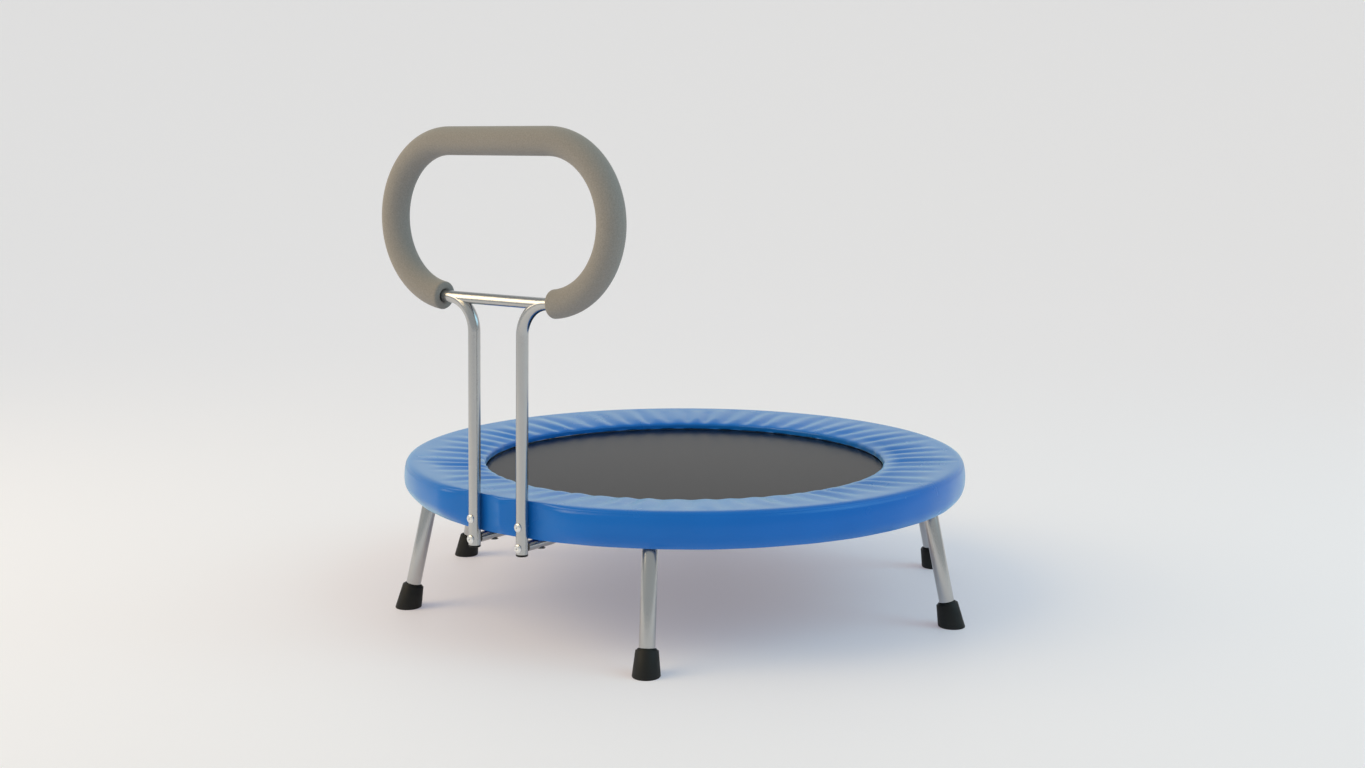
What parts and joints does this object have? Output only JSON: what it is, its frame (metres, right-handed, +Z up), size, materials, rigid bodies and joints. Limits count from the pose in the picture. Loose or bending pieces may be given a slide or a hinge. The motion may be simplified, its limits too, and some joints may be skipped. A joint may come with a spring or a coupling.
{
  "type": "mini trampoline",
  "caption": "Round mini trampoline on splayed tube legs, with a sprung mat, a padded skirted cover and a tall foam-gripped hoop handle on two uprights.",
  "frame": {"origin": "on the floor, under the middle of the whole object's bounding box", "axes": "+Z up; the handle stands on the -Y side and its loop is wide along X"},
  "size_m": [1.0264, 0.9938, 0.8198],
  "materials": {
    "polished_steel": "polished",
    "zinc_steel": "satin",
    "black_rubber": "matte",
    "mat_fabric": "matte",
    "black_webbing": "matte",
    "blue_vinyl": "satin",
    "white_foam": "matte",
    "grip_foam": "matte"
  },
  "bodies": {
    "frame": {"frame_ring": "zinc_steel", "leg_1": "polished_steel", "leg_2": "polished_steel", "leg_3": "polished_steel", "leg_4": "polished_steel", "leg_5": "polished_steel", "leg_6": "polished_steel", "foot_1": "black_rubber", "foot_2": "black_rubber", "foot_3": "black_rubber", "foot_4": "black_rubber", "foot_5": "black_rubber", "foot_6": "black_rubber", "spring_01": "zinc_steel", "spring_02": "zinc_steel", "spring_03": "zinc_steel", "spring_04": "zinc_steel", "spring_05": "zinc_steel", "spring_06": "zinc_steel", "spring_07": "zinc_steel", "spring_08": "zinc_steel", "spring_09": "zinc_steel", "spring_10": "zinc_steel", "spring_11": "zinc_steel", "spring_12": "zinc_steel", "spring_13": "zinc_steel", "spring_14": "zinc_steel", "spring_15": "zinc_steel", "spring_16": "zinc_steel", "spring_17": "zinc_steel", "spring_18": "zinc_steel", "spring_19": "zinc_steel", "spring_20": "zinc_steel", "spring_21": "zinc_steel", "spring_22": "zinc_steel", "spring_23": "zinc_steel", "spring_24": "zinc_steel", "pad_foam": "white_foam", "pad_cover": "blue_vinyl", "handle_frame": "polished_steel", "grip_foam": "grip_foam", "upright_plug_left": "black_rubber", "upright_plug_right": "black_rubber", "brace": "polished_steel", "saddle_left": "black_rubber", "saddle_right": "black_rubber", "handle_bolt_upper_left": "polished_steel", "handle_bolt_upper_right": "polished_steel", "handle_bolt_lower_left": "polished_steel", "handle_bolt_lower_right": "polished_steel", "saddle_bolt_left": "polished_steel", "saddle_bolt_right": "polished_steel"},
    "mat": {"mat": "mat_fabric", "mat_hem": "black_webbing"}
  },
  "joints": [
    {"name": "mat_bounce", "type": "slide", "parent": "frame", "child": "mat", "axis": [0, 0, -1], "range_m": [0, 0.07], "stiffness_N_per_m": 10000, "deforming": ["spring_01", "spring_02", "spring_03", "spring_04", "spring_05", "spring_06", "spring_07", "spring_08", "spring_09", "spring_10", "spring_11", "spring_12", "spring_13", "spring_14", "spring_15", "spring_16", "spring_17", "spring_18", "spring_19", "spring_20", "spring_21", "spring_22", "spring_23", "spring_24"]}
  ]
}
